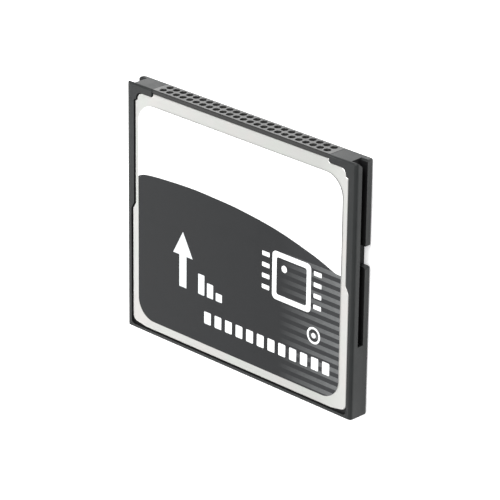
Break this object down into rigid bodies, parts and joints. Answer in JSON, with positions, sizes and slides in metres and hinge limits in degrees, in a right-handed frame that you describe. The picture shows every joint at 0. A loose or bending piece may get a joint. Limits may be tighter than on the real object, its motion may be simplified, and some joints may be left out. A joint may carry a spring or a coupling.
{
  "type": "compact flash memory card",
  "caption": "Thin flat memory card: moulded frame with guide rails, two pressed steel covers, a two-row pin socket on one end and a printed label.",
  "frame": {"origin": "middle of the footprint, on the back face that the card lies on", "axes": "+X to the right as the label is read, +Y towards the pin socket, +Z out of the label"},
  "size_m": [0.0428, 0.0364, 0.0033],
  "materials": {
    "frame_plastic": "satin charcoal moulding",
    "cover_steel": "satin",
    "socket_plastic": "satin dark moulding",
    "contact_metal": "plated spring metal",
    "board_laminate": "coated laminate",
    "chip_resin": "moulded resin",
    "tinned_lead": "tinned",
    "crystal_can": "satin",
    "capacitor_ceramic": "fired ceramic",
    "resistor_film": "fired film",
    "insulating_film": "smooth film",
    "printed_film": "printed film"
  },
  "bodies": {
    "root": {"frame": "frame_plastic", "front_cover": "cover_steel", "back_cover": "cover_steel", "socket_housing": "socket_plastic", "front_row_contacts": "contact_metal", "back_row_contacts": "contact_metal", "circuit_board": "board_laminate", "front_flash_chip": "chip_resin", "front_flash_leads": "tinned_lead", "back_flash_chip": "chip_resin", "back_flash_leads": "tinned_lead", "controller_chip": "chip_resin", "clock_crystal": "crystal_can", "voltage_regulator": "chip_resin", "capacitors": "capacitor_ceramic", "resistors": "resistor_film", "front_insulator": "insulating_film", "back_insulator": "insulating_film", "front_label": "printed_film"}
  },
  "joints": []
}
